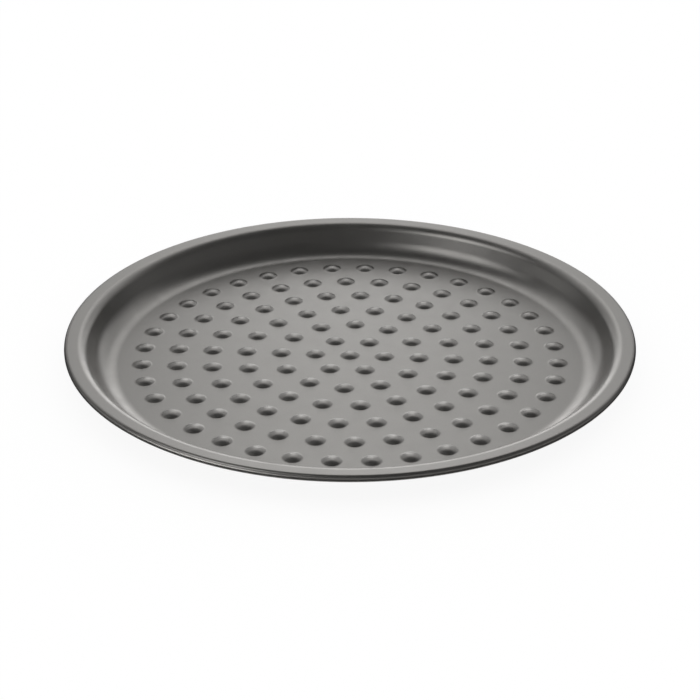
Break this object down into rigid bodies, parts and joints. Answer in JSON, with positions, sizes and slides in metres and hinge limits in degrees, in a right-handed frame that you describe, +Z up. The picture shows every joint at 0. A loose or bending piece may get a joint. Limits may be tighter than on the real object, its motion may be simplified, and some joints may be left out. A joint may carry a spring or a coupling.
{
  "type": "pizza pan",
  "caption": "Round shallow pizza pan of grey coated sheet steel: floor pressed into rings of low domes, sloping wall, and a flat flange rolled round a wire at its edge.",
  "frame": {"origin": "centre of the flat underside that the pan stands on", "axes": "+Z up along the pan's axis; +X through the line where every ring of domes has one"},
  "size_m": [0.33, 0.33, 0.0178],
  "materials": {
    "grey_coating": "baked non-stick coating, mid grey with a metallic glint, semi-gloss, very fine orange peel",
    "wire_steel": "drawn wire, uncoated, closed inside the rolled rim"
  },
  "bodies": {
    "root": {"pan_shell": "grey_coating", "rim_wire": "wire_steel"}
  },
  "joints": []
}
